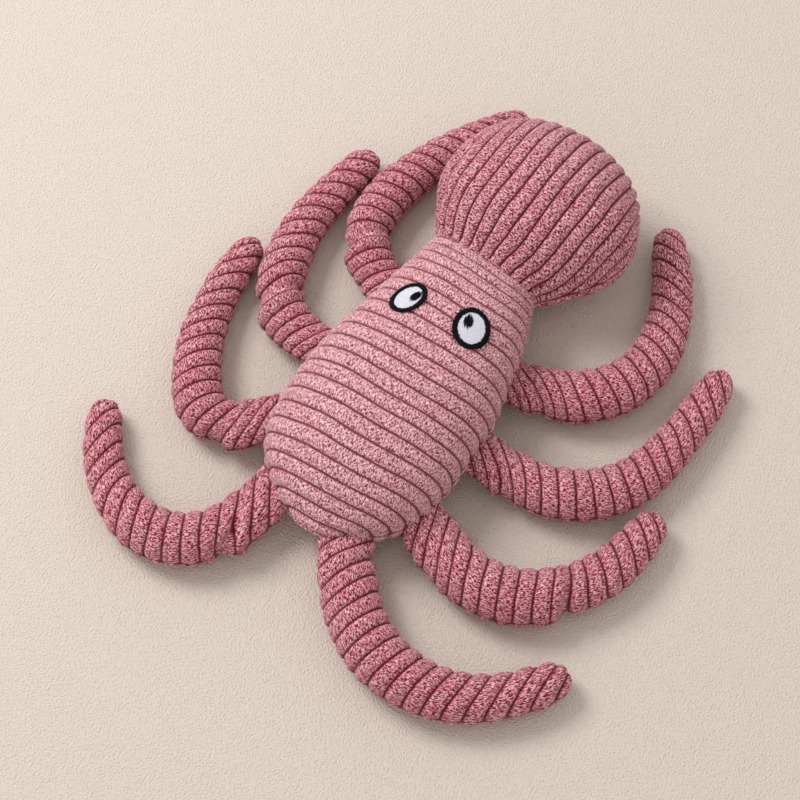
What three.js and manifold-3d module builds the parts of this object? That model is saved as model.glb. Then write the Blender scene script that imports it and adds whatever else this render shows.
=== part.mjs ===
import * as THREE from 'three';
import { mergeVertices } from 'three/addons/utils/BufferGeometryUtils.js';
import Module from 'manifold-3d';

// Stuffed octopus of wide-wale corduroy, lying on its back panel with the eyes up.
// Millimetres. +Y runs up the torso to the head, +Z out of the face, +X to the viewer's right.
// The origin is the middle of the flat that the torso rests on.

const wasm = await Module();
wasm.setup();

// Torso: a bag of a front and a back panel, sewn together round its sides, with the length of it
// that lies below the origin
const TORSO_LENGTH = 161;
const TORSO_LOWER_LENGTH = 79;
const TORSO_WIDTH = 95;
const TORSO_CROWN = 38;
const TORSO_SEAM_HEIGHT = 22;
const TORSO_LEAN = 3.2;

// Neck: the gathered seam that joins the torso to the head
const NECK_WIDTH = 62;
const NECK_CROWN = 22;
const NECK_DEPTH = 20;
const NECK_SEAM_HEIGHT = 26;

// Head: a bulb of a front and a back panel, leaning a little to the right
const HEAD_LENGTH = 84;
const HEAD_WIDTH = 105;
const HEAD_CROWN = 41;
const HEAD_SEAM_HEIGHT = 38;
const HEAD_LEAN = 7;

// Arms: eight tapering tubes, each of an upper and a lower panel, pinched flat at the root
const ARM_LENGTH = 153;
const ARM_WIDTH = 28;
const ARM_HEIGHT = 26.5;
const ARM_ROOT_HEIGHT = 14;
const ARM_ROOT_LIFT = 10.5;
const ARM_ROOT_RUN = 38;
const ARM_ROOT_INSET = 14;

// Cover, fit and the flat that every form rests on
const COVER_THICKNESS = 1.6;
const CLEARANCE = 0.3;
const FILLING_CLEARANCE = 0.5;
const FLAT_DEPTH = 0.5;

// Eyes: satin stitch standing on the front panel of the torso
const EYE_LENGTH = 22;
const EYE_WIDTH = 18;
const EYE_SPACING = 34.2;
const EYES_CENTRE_X = 3.8;
const EYES_CENTRE_Y = 37.5;
const EYE_OUTLINE_WIDTH = 1.9;
const PUPIL_LENGTH = 5.4;
const PUPIL_WIDTH = 4.1;
const PUPIL_INWARD = 2.9;
const PUPIL_UP = 2;
const STITCH_THICKNESS = 1;

// Directions in plan, in degrees from +X
const TORSO_HEADING = 90;
const NECK_HEADING = 85;

// Facets in each half of a section; an odd count puts a level facet at the bottom
const BODY_FACETS = 9;
const ARM_FACETS = 5;
const EYE_FACETS = 24;

const COLOURS = {
  torso: 0xd492a0,
  head: 0xc98293,
  arm: 0xb96a7c,
  fibre: 0xf4f1ec,
  white: 0xf2efe8,
  black: 0x14120f,
};

// The neck's depth below its seam, as a share of the seam's height over the flat
const NECK_DEPTH_SHARE = NECK_DEPTH / (NECK_SEAM_HEIGHT + FLAT_DEPTH);

// Torso: shares of its length, and of its width, crown, depth, turn and lean there
const TORSO_FORM = {
  stationShares: [0, 0.02, 0.06, 0.12, 0.22, 0.34, 0.46, 0.58, 0.7, 0.8, 0.9, 1],
  widthShares: [0, 0.3, 0.55, 0.78, 0.95, 1.01, 1.01, 0.98, 0.9, 0.825, 0.745, NECK_WIDTH / TORSO_WIDTH],
  crownShares: [0, 0.22, 0.45, 0.66, 0.86, 0.96, 1, 1, 0.97, 0.91, 0.77, NECK_CROWN / TORSO_CROWN],
  depthShares: [0, 0.4, 0.72, 0.92, 1, 1, 1, 1, 1, 0.98, 0.9, NECK_DEPTH_SHARE],
  riseShares: [0, 0, 0, 0, 0, 0, 0.05, 0.15, 0.3, 0.5, 0.75, 1],
  turnShares: [0, 0, 0, 0, 0, 0.05, 0.1, 0.2, 0.35, 0.55, 0.8, 1],
  leanShares: [0, 0, 0, 0, 0, 0.1, 0.3, 0.75, 0.95, 1, 0.75, 0],
};

// Head: the same from the neck seam to the crown
const HEAD_FORM = {
  stationShares: [0, 0.08, 0.2, 0.33, 0.46, 0.59, 0.7, 0.8, 0.88, 0.94, 0.98, 1],
  widthShares: [NECK_WIDTH / HEAD_WIDTH, 0.7, 0.845, 0.965, 1, 0.975, 0.9, 0.81, 0.67, 0.495, 0.29, 0],
  crownShares: [NECK_CROWN / HEAD_CROWN, 0.64, 0.81, 0.93, 0.99, 1, 0.95, 0.84, 0.69, 0.5, 0.28, 0],
  depthShares: [NECK_DEPTH_SHARE, 0.84, 0.93, 0.99, 1, 1, 0.96, 0.87, 0.72, 0.53, 0.3, 0],
  riseShares: [0, 0.25, 0.55, 0.8, 0.95, 1, 1, 1, 1, 1, 1, 1],
  leanShares: [0, 0.17, 0.39, 0.6, 0.78, 0.84, 0.83, 0.81, 0.85, 0.91, 0.96, 1],
};

// Arms: the swell over the run from the pinched root, in shares of that run
const ARM_ROOT_FORM = {
  stationShares: [0, 0.28, 0.6],
  widthShares: [0.94, 0.97, 0.99],
  heightShares: [ARM_ROOT_HEIGHT / ARM_HEIGHT, 0.72, 0.89],
};

// Arms: the taper to the rounded tip, in shares of the rest of the length
const ARM_FORM = {
  stationShares: [0, 0.13, 0.26, 0.39, 0.52, 0.65, 0.77, 0.87, 0.94, 0.975, 1],
  sizeShares: [1, 1, 0.97, 0.92, 0.86, 0.81, 0.77, 0.72, 0.62, 0.46, 0],
  levelShares: [1, 1, 0.97, 0.92, 0.86, 0.81, 0.77, 0.72, 0.72, 0.72, 0.72],
};

// Each arm: its root as shares of the torso's half width and lower length, its length and girth
// as shares, and its headings in plan over eight even stretches, in degrees
const ARMS = [
  { name: 'arm_left_1', rootShares: [-0.7, 0.68], lengthShare: 1, girthShare: 0.91,
    headings: [154, 129, 97, 80, 71, 64, 60, 56] },
  { name: 'arm_left_2', rootShares: [-1.01, 0.12], lengthShare: 0.905, girthShare: 0.93,
    headings: [172, 150, 114, 103, 94, 85, 80, 77] },
  { name: 'arm_left_3', rootShares: [-1.03, -0.47], lengthShare: 0.92, girthShare: 0.93,
    headings: [224, 184, 129, 119, 108, 101, 93, 88] },
  { name: 'arm_left_4', rootShares: [-0.54, -0.84], lengthShare: 0.975, girthShare: 0.97,
    headings: [254, 247, 219, 187, 161, 143, 128, 117] },
  { name: 'arm_right_1', rootShares: [0.9, 0.52], lengthShare: 1.03, girthShare: 0.97,
    headings: [14, 26, 50, 76, 96, 110, 120, 125] },
  { name: 'arm_right_2', rootShares: [1.01, 0], lengthShare: 1.05, girthShare: 0.97,
    headings: [-4, 5, 26, 50, 72, 80, 86, 91] },
  { name: 'arm_right_3', rootShares: [0.9, -0.56], lengthShare: 0.97, girthShare: 1.04,
    headings: [-28, -18, 5, 30, 48, 63, 77, 86] },
  { name: 'arm_right_4', rootShares: [0.34, -0.89], lengthShare: 1.05, girthShare: 1.06,
    headings: [-58, -48, -32, -10, 9, 29, 45, 54] },
];

// Each eye: its side, its two sizes as shares of an eye's, since the left one is foreshortened over
// the torso's shoulder, its rise as a share of the spacing, and how far its long way is turned in
// plan, in degrees from +X
const EYES = [
  { name: 'eye_left', side: -1, lengthShare: 0.84, widthShare: 0.81, riseShare: -0.02, turn: 70 },
  { name: 'eye_right', side: 1, lengthShare: 1, widthShare: 1, riseShare: 0.02, turn: 106 },
];

function radians(degrees) {
  return THREE.MathUtils.degToRad(degrees);
}

// The value at a share of the way along a row of stations
function along(stations, values, share) {
  const last = stations.length - 1;
  if (share <= stations[0]) return values[0];
  if (share >= stations[last]) return values[last];
  const next = stations.findIndex((station) => station > share);
  const part = (share - stations[next - 1]) / (stations[next] - stations[next - 1]);
  return THREE.MathUtils.lerp(values[next - 1], values[next], part);
}

// The next place along a path, a step away on a heading in plan
function stepFrom(place, heading, step) {
  const x = place.x + Math.cos(radians(heading)) * step;
  const y = place.y + Math.sin(radians(heading)) * step;
  return { x, y, heading };
}

// A place moved to its right by a distance
function movedRight(place, distance) {
  return { ...stepFrom(place, place.heading - 90, distance), heading: place.heading };
}

// The sizes of a section of a form that is grown or shrunk on every side. They follow the form
// a reach before and behind, as its sides slope, and a section that is shrunk away is a point.
function grownSizes(sizesAt, at, reach, grow) {
  const before = sizesAt(at - reach);
  const after = sizesAt(at + reach);
  const choose = grow < 0 ? Math.min : Math.max;
  const halfWidth = choose(before.halfWidth, after.halfWidth) + grow;
  const crown = choose(before.crown, after.crown) + grow;
  const depth = choose(before.depth, after.depth) + grow;
  if (Math.min(halfWidth, crown, depth) <= 0) return { halfWidth: 0, crown: 0, depth: 0 };
  return { halfWidth, crown, depth };
}

// Torso: the places of its sections, from its lower end to the neck seam
function torsoSizes(share) {
  const seamHeight = torsoSeamHeight(share);
  return {
    halfWidth: along(TORSO_FORM.stationShares, TORSO_FORM.widthShares, share) * TORSO_WIDTH / 2,
    crown: along(TORSO_FORM.stationShares, TORSO_FORM.crownShares, share) * TORSO_CROWN,
    depth: along(TORSO_FORM.stationShares, TORSO_FORM.depthShares, share) * (seamHeight + FLAT_DEPTH),
  };
}

function torsoSeamHeight(share) {
  const rise = along(TORSO_FORM.stationShares, TORSO_FORM.riseShares, share);
  return THREE.MathUtils.lerp(TORSO_SEAM_HEIGHT, NECK_SEAM_HEIGHT, rise);
}

function torsoPlaces(grow) {
  let place = { x: 0, y: -TORSO_LOWER_LENGTH, heading: TORSO_HEADING };
  let before = 0;
  return TORSO_FORM.stationShares.map((share, i) => {
    const heading = THREE.MathUtils.lerp(TORSO_HEADING, NECK_HEADING, TORSO_FORM.turnShares[i]);
    place = stepFrom(place, heading, (share - before) * TORSO_LENGTH);
    before = share;
    const closed = i === 0 ? stepFrom(place, heading, -grow) : place;
    const leaned = movedRight(closed, TORSO_FORM.leanShares[i] * TORSO_LEAN);
    const sizes = grownSizes(torsoSizes, share, Math.abs(grow) / TORSO_LENGTH, grow);
    return { ...leaned, ...sizes, seamHeight: torsoSeamHeight(share) };
  });
}

// Head: the places of its sections, from the neck seam to the crown
function headSeamHeight(share) {
  const rise = along(HEAD_FORM.stationShares, HEAD_FORM.riseShares, share);
  return THREE.MathUtils.lerp(NECK_SEAM_HEIGHT, HEAD_SEAM_HEIGHT, rise);
}

function headSizes(share) {
  return {
    halfWidth: along(HEAD_FORM.stationShares, HEAD_FORM.widthShares, share) * HEAD_WIDTH / 2,
    crown: along(HEAD_FORM.stationShares, HEAD_FORM.crownShares, share) * HEAD_CROWN,
    depth: along(HEAD_FORM.stationShares, HEAD_FORM.depthShares, share) * (headSeamHeight(share) + FLAT_DEPTH),
  };
}

function headPlaces(grow) {
  const neck = torsoPlaces(0).at(-1);
  const start = stepFrom(neck, NECK_HEADING, CLEARANCE);
  return HEAD_FORM.stationShares.map((share, i) => {
    const closing = share === 1 ? grow : 0;
    const onAxis = stepFrom(start, NECK_HEADING, share * HEAD_LENGTH + closing);
    const place = movedRight(onAxis, HEAD_FORM.leanShares[i] * HEAD_LEAN);
    const sizes = grownSizes(headSizes, share, Math.abs(grow) / HEAD_LENGTH, grow);
    return { ...place, ...sizes, seamHeight: headSeamHeight(share) };
  });
}

// Arm: how far along it each of its sections stands
function armStations(arm) {
  const rest = arm.lengthShare * ARM_LENGTH - ARM_ROOT_RUN;
  const root = ARM_ROOT_FORM.stationShares.map((share) => share * ARM_ROOT_RUN);
  return [...root, ...ARM_FORM.stationShares.map((share) => ARM_ROOT_RUN + share * rest)];
}

// A size of an arm at a distance along it, from its shares at the root and beyond
function armSize(arm, distance, rootShares, shares, size) {
  return along(armStations(arm), [...rootShares, ...shares], distance) * arm.girthShare * size;
}

function armSizes(arm, distance) {
  const halfWidth = armSize(arm, distance, ARM_ROOT_FORM.widthShares, ARM_FORM.sizeShares, ARM_WIDTH / 2);
  const halfHeight = armSize(arm, distance, ARM_ROOT_FORM.heightShares, ARM_FORM.sizeShares, ARM_HEIGHT / 2);
  return { halfWidth, crown: halfHeight, depth: halfHeight };
}

// The height of an arm's seams: it lies on its underside, and rises to the torso's seam at its root
function armSeamHeight(arm, distance) {
  const level = armSize(arm, distance, ARM_ROOT_FORM.heightShares, ARM_FORM.levelShares, ARM_HEIGHT / 2);
  const run = Math.min(distance / ARM_ROOT_RUN, 1);
  return level - FLAT_DEPTH + ARM_ROOT_LIFT * (1 - run) * (1 - run);
}

function armHeading(arm, distance) {
  const middles = arm.headings.map((_, i) => (i + 0.5) / arm.headings.length);
  return along(middles, arm.headings, distance / (arm.lengthShare * ARM_LENGTH));
}

// The places of an arm's sections, from inside the torso's edge to the tip
function armPlaces(arm, grow) {
  const root = { x: arm.rootShares[0] * TORSO_WIDTH / 2, y: arm.rootShares[1] * TORSO_LOWER_LENGTH };
  const inside = stepFrom(root, arm.headings[0], -ARM_ROOT_INSET);
  let place = { ...root, heading: arm.headings[0] };
  let before = 0;
  const places = armStations(arm).map((distance, i, all) => {
    place = stepFrom(place, armHeading(arm, (distance + before) / 2), distance - before);
    before = distance;
    const heading = armHeading(arm, distance);
    const closed = i === all.length - 1 ? stepFrom(place, heading, grow) : place;
    const sizes = grownSizes((at) => armSizes(arm, at), distance, Math.abs(grow), grow);
    return { ...closed, heading, ...sizes, seamHeight: armSeamHeight(arm, distance) };
  });
  return [{ ...places[0], ...inside }, ...places];
}

// Half of a section, from its right seam over the crown, or under the depth, to its left seam.
// Its middle facet lies level, at the full crown or depth, and none of it is below a height.
function halfSection(place, facets, side, lowest, lift) {
  const levelSine = Math.cos(Math.PI / (2 * facets));
  const reach = side > 0 ? place.crown : place.depth;
  const points = [];
  for (let i = 0; i <= facets; i += 1) {
    const angle = (Math.PI * i) / facets;
    const rise = i === 0 || i === facets ? 0 : (reach * Math.sin(angle)) / levelSine;
    const height = Math.max(place.seamHeight + side * (rise + lift), lowest);
    const at = movedRight(place, place.halfWidth * Math.cos(angle));
    points.push([at.x, at.y, height]);
  }
  return points;
}

// A whole section, as one ring that starts at the right seam and goes round over the crown
function wholeSection(place, facets, lowest) {
  const over = halfSection(place, facets, 1, lowest, 0);
  const under = halfSection(place, facets, -1, lowest, 0);
  return [...over, ...under.reverse().slice(1, -1)];
}

// Rings of points joined into one closed solid, the first and the last ring filled across
function loft(rings) {
  const count = rings[0].length;
  const indices = [];
  const quad = (a, b, c, d) => indices.push(a, b, c, a, c, d);
  for (let row = 0; row + 1 < rings.length; row += 1) {
    for (let i = 0; i < count; i += 1) {
      const next = (i + 1) % count;
      quad(row * count + i, (row + 1) * count + i, (row + 1) * count + next, row * count + next);
    }
  }
  const end = (rings.length - 1) * count;
  for (let i = 0; i + 1 < count / 2; i += 1) {
    quad(i, i + 1, count - 2 - i, count - 1 - i);
    quad(end + i, end + count - 1 - i, end + count - 2 - i, end + i + 1);
  }
  const geometry = new THREE.BufferGeometry();
  geometry.setAttribute('position', new THREE.Float32BufferAttribute(rings.flat(2), 3));
  geometry.setIndex(indices);
  return toSolid(geometry);
}

// A closed geometry as a solid that can be cut and joined
function toSolid(geometry) {
  geometry.deleteAttribute('normal');
  geometry.deleteAttribute('uv');
  const merged = mergeVertices(geometry);
  const corners = merged.index.array;
  const kept = [];
  for (let i = 0; i < corners.length; i += 3) {
    const [a, b, c] = corners.slice(i, i + 3);
    if (a !== b && b !== c && c !== a) kept.push(a, b, c);
  }
  const vertProperties = new Float32Array(merged.attributes.position.array);
  return new wasm.Manifold(new wasm.Mesh({ numProp: 3, vertProperties, triVerts: new Uint32Array(kept) }));
}

// A cut solid as a three.js geometry
function toGeometry(solid) {
  const mesh = solid.getMesh();
  const geometry = new THREE.BufferGeometry();
  geometry.setAttribute('position', new THREE.BufferAttribute(mesh.vertProperties, 3));
  geometry.setIndex(new THREE.BufferAttribute(mesh.triVerts, 1));
  geometry.computeVertexNormals();
  return geometry;
}

// A form as one closed solid, resting on a height
function wholeForm(places, facets, lowest) {
  return loft(places.map((place) => wholeSection(place, facets, lowest)));
}

// One panel of a form's cover, above its seams or below them, with its outer and inner face
function coverPanel(placesAt, facets, side) {
  const outer = placesAt(0);
  const inner = placesAt(-COVER_THICKNESS);
  const lift = CLEARANCE / 2;
  return loft(outer.map((place, i) => {
    const outside = halfSection(place, facets, side, 0, lift);
    const inside = halfSection(inner[i], facets, side, COVER_THICKNESS, lift);
    const ring = [...outside, ...inside.reverse()];
    return side > 0 ? ring : ring.reverse();
  }));
}

// The filling inside a form's cover
function filling(placesAt, facets) {
  const inset = COVER_THICKNESS + FILLING_CLEARANCE;
  return wholeForm(placesAt(-inset), facets, inset);
}

// An upright prism over a turned ellipse, from the torso's seams to above its crown
function ellipsePrism(x, y, length, width, turn) {
  const shape = new THREE.Shape();
  shape.absellipse(x, y, length / 2, width / 2, 0, 2 * Math.PI, false, radians(turn));
  const depth = 2 * TORSO_CROWN;
  const prism = new THREE.ExtrudeGeometry(shape, { depth, bevelEnabled: false, curveSegments: EYE_FACETS });
  return toSolid(prism.translate(0, 0, TORSO_SEAM_HEIGHT));
}

const group = new THREE.Group();

function addNode(name, solid, colour, roughness) {
  const material = new THREE.MeshStandardMaterial({ color: colour, roughness, metalness: 0 });
  const mesh = new THREE.Mesh(toGeometry(solid), material);
  mesh.name = name;
  group.add(mesh);
}

// The front panel, the back panel and the filling of a form, cut clear of larger forms
function addForm(placesAt, facets, names, colour, cutters) {
  const cut = (solid) => cutters.reduce((rest, cutter) => rest.subtract(cutter), solid);
  addNode(names.upper, cut(coverPanel(placesAt, facets, 1)), colour, 0.95);
  addNode(names.lower, cut(coverPanel(placesAt, facets, -1)), colour, 0.95);
  addNode(names.filling, cut(filling(placesAt, facets)), COLOURS.fibre, 1);
}

function addTorso() {
  const names = { upper: 'torso_front_panel', lower: 'torso_back_panel', filling: 'torso_filling' };
  addForm(torsoPlaces, BODY_FACETS, names, COLOURS.torso, []);
}

function addHead() {
  const names = { upper: 'head_front_panel', lower: 'head_back_panel', filling: 'head_filling' };
  addForm(headPlaces, BODY_FACETS, names, COLOURS.head, []);
}

// Every arm is cut by the torso, the head and the arms before it
function addArms() {
  const cutters = [
    wholeForm(torsoPlaces(CLEARANCE), BODY_FACETS, -CLEARANCE),
    wholeForm(headPlaces(CLEARANCE), BODY_FACETS, -CLEARANCE),
  ];
  ARMS.forEach((arm) => {
    const placesAt = (grow) => armPlaces(arm, grow);
    const nameOf = (part) => `${arm.name}_${part}`;
    const names = { upper: nameOf('upper_panel'), lower: nameOf('lower_panel'), filling: nameOf('filling') };
    addForm(placesAt, ARM_FACETS, names, COLOURS.arm, cutters);
    cutters.push(wholeForm(placesAt(CLEARANCE), ARM_FACETS, -CLEARANCE));
  });
}

// An eye: three patches of stitching that follow the front panel, side by side
function addEye({ name, side, lengthShare, widthShare, riseShare, turn }) {
  const stitching = wholeForm(torsoPlaces(CLEARANCE + STITCH_THICKNESS), BODY_FACETS, 0)
    .subtract(wholeForm(torsoPlaces(CLEARANCE), BODY_FACETS, 0));
  const patch = (x, y, length, width, grow) =>
    ellipsePrism(x, y, lengthShare * length + 2 * grow, widthShare * width + 2 * grow, turn);
  const x = EYES_CENTRE_X + side * EYE_SPACING / 2;
  const y = EYES_CENTRE_Y + riseShare * EYE_SPACING;
  const eye = (inset) => patch(x, y, EYE_LENGTH, EYE_WIDTH, -inset);
  const pupilAt = [x - side * PUPIL_INWARD, y + PUPIL_UP];
  const pupil = (grow) => patch(...pupilAt, PUPIL_LENGTH, PUPIL_WIDTH, grow);
  const outline = eye(0).subtract(eye(EYE_OUTLINE_WIDTH));
  const white = eye(EYE_OUTLINE_WIDTH + CLEARANCE).subtract(pupil(CLEARANCE));
  addNode(`${name}_outline`, stitching.intersect(outline), COLOURS.black, 0.6);
  addNode(`${name}_white`, stitching.intersect(white), COLOURS.white, 0.5);
  addNode(`${name}_pupil`, stitching.intersect(pupil(0)), COLOURS.black, 0.6);
}

addTorso();
addHead();
addArms();
EYES.forEach(addEye);

export default group;
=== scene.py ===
import math
from functools import partial

import bpy
import numpy as np
from bpy.props import FloatProperty, FloatVectorProperty, PointerProperty
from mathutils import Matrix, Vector
from mathutils.bvhtree import BVHTree


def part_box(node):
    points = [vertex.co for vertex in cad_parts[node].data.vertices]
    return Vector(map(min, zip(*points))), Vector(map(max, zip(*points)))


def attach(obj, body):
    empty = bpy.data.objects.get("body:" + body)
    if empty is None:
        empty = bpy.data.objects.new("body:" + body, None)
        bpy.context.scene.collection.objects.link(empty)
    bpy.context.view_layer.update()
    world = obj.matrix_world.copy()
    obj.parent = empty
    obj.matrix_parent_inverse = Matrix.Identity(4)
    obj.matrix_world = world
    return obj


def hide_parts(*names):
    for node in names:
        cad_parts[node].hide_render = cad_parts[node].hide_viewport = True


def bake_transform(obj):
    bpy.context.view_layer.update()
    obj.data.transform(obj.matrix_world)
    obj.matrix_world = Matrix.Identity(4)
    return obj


bl_info = {
    "name": "Corduroy Octopus",
    "version": (1, 0, 0),
    "blender": (4, 5, 0),
    "location": "3D View > Sidebar > Octopus",
    "description": "Dresses a stuffed octopus in wide-wale corduroy, with stitched eyes",
    "category": "Add Mesh",
}

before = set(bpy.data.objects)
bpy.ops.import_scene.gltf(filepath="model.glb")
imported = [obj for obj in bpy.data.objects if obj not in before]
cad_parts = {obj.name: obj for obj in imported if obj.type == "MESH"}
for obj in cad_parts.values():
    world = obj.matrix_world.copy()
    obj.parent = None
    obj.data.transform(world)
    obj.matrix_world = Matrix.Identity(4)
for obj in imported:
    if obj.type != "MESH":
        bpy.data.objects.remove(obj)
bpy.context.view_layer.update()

# Torso: shares of its length, and of its width, crown, depth, rise to the neck, turn, lean to the
# right and squeeze of its wales there
TORSO_FORM = {
    "station_shares": [0, 0.02, 0.06, 0.12, 0.22, 0.34, 0.46, 0.58, 0.7, 0.8, 0.9, 1],
    "width_shares": [0, 0.3, 0.55, 0.78, 0.95, 1.01, 1.01, 0.98, 0.9, 0.825, 0.745, 0.653],
    "crown_shares": [0, 0.22, 0.45, 0.66, 0.86, 0.96, 1, 1, 0.97, 0.91, 0.77, 0.579],
    "depth_shares": [0, 0.4, 0.72, 0.92, 1, 1, 1, 1, 1, 0.98, 0.9, 0.755],
    "rise_shares": [0, 0, 0, 0, 0, 0, 0.05, 0.15, 0.3, 0.5, 0.75, 1],
    "turn_shares": [0, 0, 0, 0, 0, 0.05, 0.1, 0.2, 0.35, 0.55, 0.8, 1],
    "lean_shares": [0, 0, 0, 0, 0, 0.1, 0.3, 0.75, 0.95, 1, 0.75, 0],
    "squeeze_shares": [0, 0, 0, 0, 0, 0, 0, 0, 0, 0, 0.15, 0.5],
}

# Head: the same from the neck seam to the crown, with its lean to the right
HEAD_FORM = {
    "station_shares": [0, 0.08, 0.2, 0.33, 0.46, 0.59, 0.7, 0.8, 0.88, 0.94, 0.98, 1],
    "width_shares": [0.59, 0.7, 0.845, 0.965, 1, 0.975, 0.9, 0.81, 0.67, 0.495, 0.29, 0],
    "crown_shares": [0.537, 0.64, 0.81, 0.93, 0.99, 1, 0.95, 0.84, 0.69, 0.5, 0.28, 0],
    "depth_shares": [0.755, 0.84, 0.93, 0.99, 1, 1, 0.96, 0.87, 0.72, 0.53, 0.3, 0],
    "rise_shares": [0, 0.25, 0.55, 0.8, 0.95, 1, 1, 1, 1, 1, 1, 1],
    "lean_shares": [0, 0.17, 0.39, 0.6, 0.78, 0.84, 0.83, 0.81, 0.85, 0.91, 0.96, 1],
    "squeeze_shares": [0.25, 0.1, 0, 0, 0, 0, 0, 0, 0, 0, 0, 0],
}

# Arms: the swell over the run from the pinched root, in shares of that run
ARM_ROOT_FORM = {
    "station_shares": [0, 0.28, 0.6],
    "width_shares": [0.94, 0.97, 0.99],
    "height_shares": [0.528, 0.72, 0.89],
}

# Arms: the taper to the rounded tip, in shares of the rest of the length
ARM_FORM = {
    "station_shares": [0, 0.13, 0.26, 0.39, 0.52, 0.65, 0.77, 0.87, 0.94, 0.975, 1],
    "size_shares": [1, 1, 0.97, 0.92, 0.86, 0.81, 0.77, 0.72, 0.62, 0.46, 0],
    "level_shares": [1, 1, 0.97, 0.92, 0.86, 0.81, 0.77, 0.72, 0.72, 0.72, 0.72],
}

# Each arm: its root as shares of the torso's half width and lower length, its length and girth as
# shares, how much closer its wales stand at the gathered root as a share, and the headings in plan of
# the arm and of its wales over eight even stretches, in degrees. A crease is its place along the arm as
# a share, its turn from the wales there in degrees, its depth as a share of the girth, and the side
# that it is deepest on, from -1 at the right to 1 at the left.
ARMS = {
    "arm_left_1": {
        "root_shares": (-0.7, 0.68), "length_share": 1, "girth_share": 0.91,
        "gather_share": 0.35,
        "headings": [154, 129, 97, 80, 71, 64, 60, 56],
        "wale_headings": [56, 46, 14, 6, 3, 2, 0, 6],
        "creases": [(0.07, 0, 0.12, 0.8), (0.23, 10, 0.4, 0.2)],
    },
    "arm_left_2": {
        "root_shares": (-1.01, 0.12), "length_share": 0.905, "girth_share": 0.93,
        "gather_share": 0.35,
        "headings": [172, 150, 114, 103, 94, 85, 80, 77],
        "wale_headings": [61, 66, 57, 38, 33, 21, 22, 22],
        "creases": [(0.06, 0, 0.12, -0.6), (0.28, -10, 0.4, 0.3)],
    },
    "arm_left_3": {
        "root_shares": (-1.03, -0.47), "length_share": 0.92, "girth_share": 0.93,
        "gather_share": 0.55,
        "headings": [224, 184, 129, 119, 108, 101, 93, 88],
        "wale_headings": [89, 78, 54, 52, 46, 42, 43, 47],
        "creases": [(0.07, 0, 0.12, 0.5), (0.14, 8, 0.26, 0.9)],
    },
    "arm_left_4": {
        "root_shares": (-0.54, -0.84), "length_share": 0.975, "girth_share": 0.97,
        "gather_share": 0,
        "headings": [254, 247, 219, 187, 161, 143, 128, 117],
        "wale_headings": [121, 119, 122, 106, 106, 80, 76, 70],
        "creases": [(0.15, -10, 0.36, 0.9)],
    },
    "arm_right_1": {
        "root_shares": (0.9, 0.52), "length_share": 1.03, "girth_share": 0.97,
        "gather_share": 0.8,
        "headings": [14, 26, 50, 76, 96, 110, 120, 125],
        "wale_headings": [145, 137, 149, 151, 160, 173, 171, 176],
        "creases": [(0.06, -10, 0.2, -0.5)],
    },
    "arm_right_2": {
        "root_shares": (1.01, 0), "length_share": 1.05, "girth_share": 0.97,
        "gather_share": 0.5,
        "headings": [-4, 5, 26, 50, 72, 80, 86, 91],
        "wale_headings": [136, 121, 120, 138, 147, 138, 144, 133],
        "creases": [(0.06, -5, 0.2, -0.5), (0.13, 0, 0.1, 0.6)],
    },
    "arm_right_3": {
        "root_shares": (0.9, -0.56), "length_share": 0.97, "girth_share": 1.04,
        "gather_share": 0.3,
        "headings": [-28, -18, 5, 30, 48, 63, 77, 86],
        "wale_headings": [102, 109, 107, 112, 116, 136, 137, 139],
        "creases": [(0.08, 0, 0.2, 0.3), (0.58, 0, 0.3, -0.9)],
    },
    "arm_right_4": {
        "root_shares": (0.34, -0.89), "length_share": 1.05, "girth_share": 1.06,
        "gather_share": 0,
        "headings": [-58, -48, -32, -10, 9, 29, 45, 54],
        "wale_headings": [57, 65, 68, 73, 80, 89, 94, 93],
        "creases": [(0.11, 0, 0.18, 0.5)],
    },
}

# Each eye: how it is turned in plan in degrees, its length and width as shares of an eye's, since the
# left eye lies over the steeper shoulder, its outline's width as a share, where the pupil's tick
# points, and the tick's length as a share
EYES = {
    "left": {
        "turn": 70, "size_shares": (0.86, 0.79), "outline_share": 0.85,
        "tick": 66, "tick_share": 1,
    },
    "right": {
        "turn": 106, "size_shares": (0.94, 0.95), "outline_share": 0.95,
        "tick": 113, "tick_share": 0.55,
    },
}

# How finely paths, forms and sections are worked out, and the meshes' spacing round the torso and the
# head as shares of the cloth's
PATH_STEPS = 800
FORM_STEPS = 1500
ARC_STEPS = 360
TORSO_SPACING_SHARE = 1.15
HEAD_SPACING_SHARE = 1.1

# The least that anything is divided by
TINY = 1e-6

# The columns of a form's rows, and of a place and a path
PLACE, HALF_WIDTH, CROWN, DEPTH, SEAM, LEAN, SQUEEZE = range(7)
X, Y, Z = range(3)
HEADING = 2

# The cloth near its seams: over how many wales it is gathered and its bow sets in, how much deeper its
# grooves are there, or shallower on the arms, and by how much a distance from the seam counts for more,
# which makes the wales' rounded ends shorter
GATHERED_WALES = 2
TORSO_GATHER_SHARE = 0.3
NECK_GATHER_SHARE = 0.8
HEAD_GATHER_SHARE = 0.2
ARM_EASE_SHARE = 0.25
NECK_EDGE_SHARE = 1.6
ARM_EDGE_SHARE = 1.5

# A crease's section, in shares of its half width and its depth: how deep it is at the middle of the
# arm and how much more at its side, how slowly it fills out after it, and the swelling before it
CREASE_MIDDLE_SHARE = 0.55
CREASE_SIDE_SHARE = 0.45
CREASE_TAIL_REACH_SHARE = 3
CREASE_TAIL_SHARE = 0.35
SWELLING_PLACE_SHARE = 1.9
SWELLING_REACH_SHARE = 1.1
SWELLING_SHARE = 0.28

# The stuffing's simulation: the spacing of its mesh in metres, and the frames that it runs
STUFFING_STEP = 0.0045
STUFFING_FRAMES = 20

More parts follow.
